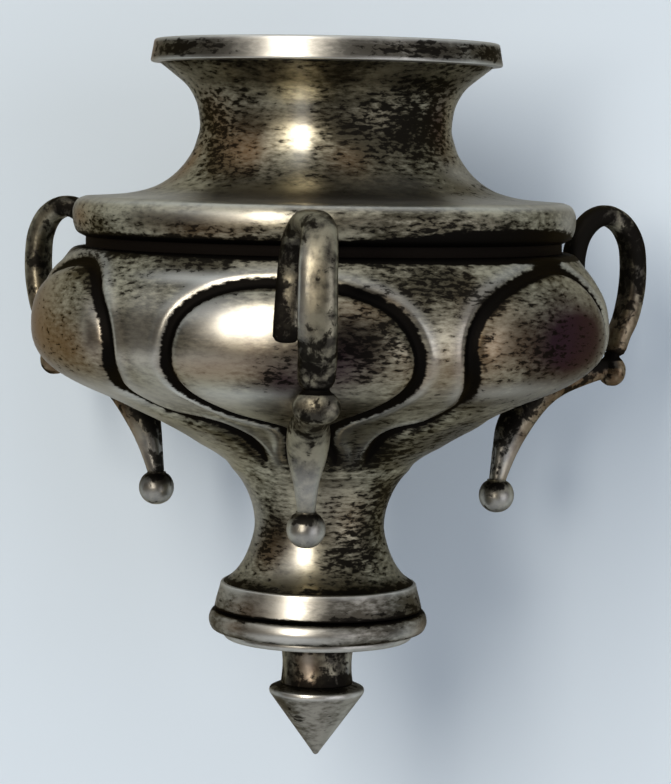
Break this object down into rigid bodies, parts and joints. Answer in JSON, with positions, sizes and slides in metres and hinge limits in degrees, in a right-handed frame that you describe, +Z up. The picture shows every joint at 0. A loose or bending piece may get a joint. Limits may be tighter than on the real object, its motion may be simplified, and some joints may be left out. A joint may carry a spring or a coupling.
{
  "type": "hanging censer bowl",
  "caption": "Lobed silver hanging censer bowl with flared neck, chain handles ending in ball drops, moulded foot, screwed cone finial and a lift-out fire pan.",
  "frame": {"origin": "midway between the three points where the chains hang in the handle loops, on the vessel's axis", "axes": "+Z up along the vessel's axis through the mouth, -Y towards one of the three handles"},
  "size_m": [0.1168, 0.1193, 0.1268],
  "materials": {
    "tarnished_silver": "hand-raised silver, worn satin with black tarnish in the chased lines",
    "cast_silver": "cast silver, blackened, bright on worn edges",
    "brass_fitting": "dull turned brass",
    "sooty_steel": "spun sheet metal darkened by heat and soot"
  },
  "bodies": {
    "vessel": {"mouth_rim": "tarnished_silver", "neck_shell": "tarnished_silver", "shoulder_bead": "tarnished_silver", "shoulder_collar": "tarnished_silver", "bowl_shell": "tarnished_silver", "stem_shell": "tarnished_silver", "foot_band": "tarnished_silver", "foot_ring": "tarnished_silver", "base_plate": "tarnished_silver", "stud_nut": "brass_fitting", "handle_loop_front": "cast_silver", "handle_horn_front": "cast_silver", "handle_ball_front": "cast_silver", "handle_loop_right": "cast_silver", "handle_horn_right": "cast_silver", "handle_ball_right": "cast_silver", "handle_loop_left": "cast_silver", "handle_horn_left": "cast_silver", "handle_ball_left": "cast_silver"},
    "pan": {"fire_pan": "sooty_steel"},
    "washer": {"finial_washer": "brass_fitting"},
    "finial": {"finial_spool": "tarnished_silver", "finial_cone": "tarnished_silver", "finial_stud": "brass_fitting"}
  },
  "joints": [
    {"name": "pan_lift", "type": "slide", "parent": "vessel", "child": "pan", "axis": [0, 0, 1], "range_m": [0, 0.06]},
    {"name": "finial_travel", "type": "slide", "parent": "vessel", "child": "washer", "axis": [0, 0, -1], "range_m": [0, 0.00952]},
    {"name": "finial_turn", "type": "hinge", "parent": "washer", "child": "finial", "pos_m": [0, 0, -0.0802], "axis": [0, 0, -1], "range_deg": [0, 3420]}
  ],
  "couplings": [
    {"joint": "finial_travel", "follows": "finial_turn", "m_per_rad": 0.00015915}
  ]
}
